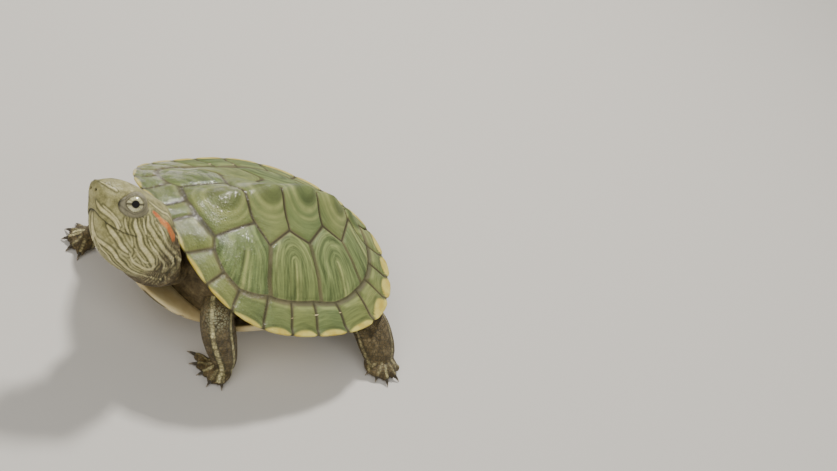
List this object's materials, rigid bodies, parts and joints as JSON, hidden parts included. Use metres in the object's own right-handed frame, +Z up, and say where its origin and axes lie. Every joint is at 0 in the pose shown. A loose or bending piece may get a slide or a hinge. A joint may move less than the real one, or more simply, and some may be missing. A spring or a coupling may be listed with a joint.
{
  "type": "turtle model",
  "caption": "Life-size still model of a young red-eared slider turtle standing on all fours, head raised and turned, with a low domed oval shell, clawed webbed feet and a short tail.",
  "frame": {"origin": "on the floor under the middle of the whole animal's bounding box", "axes": "+Z up, -Y towards the turtle's head, +X towards the turtle's left side; its soles rest on z = 0"},
  "size_m": [0.0934, 0.1266, 0.0565],
  "materials": {
    "carapace": "satin, hard horn scutes",
    "plastron": "satin, hard horn scutes",
    "trunk": "fine scaly skin, slightly damp",
    "neck": "fine scaly skin, slightly damp",
    "head": "fine scaly skin, slightly damp",
    "lower_jaw": "fine scaly skin, slightly damp",
    "eye_left": "glossy, wet",
    "eye_right": "glossy, wet",
    "foreleg_left": "fine scaly skin, slightly damp",
    "foreleg_right": "fine scaly skin, slightly damp",
    "forefoot_left": "fine scaly skin, slightly damp",
    "forefoot_right": "fine scaly skin, slightly damp",
    "hindleg_left": "fine scaly skin, slightly damp",
    "hindleg_right": "fine scaly skin, slightly damp",
    "hindfoot_left": "fine scaly skin, slightly damp",
    "hindfoot_right": "fine scaly skin, slightly damp",
    "tail": "fine scaly skin, slightly damp"
  },
  "bodies": {
    "root": {"carapace": "carapace", "plastron": "plastron", "trunk": "trunk", "neck": "neck", "head": "head", "lower_jaw": "lower_jaw", "eye_left": "eye_left", "eye_right": "eye_right", "foreleg_left": "foreleg_left", "foreleg_right": "foreleg_right", "forefoot_left": "forefoot_left", "forefoot_right": "forefoot_right", "hindleg_left": "hindleg_left", "hindleg_right": "hindleg_right", "hindfoot_left": "hindfoot_left", "hindfoot_right": "hindfoot_right", "tail": "tail"}
  },
  "joints": []
}
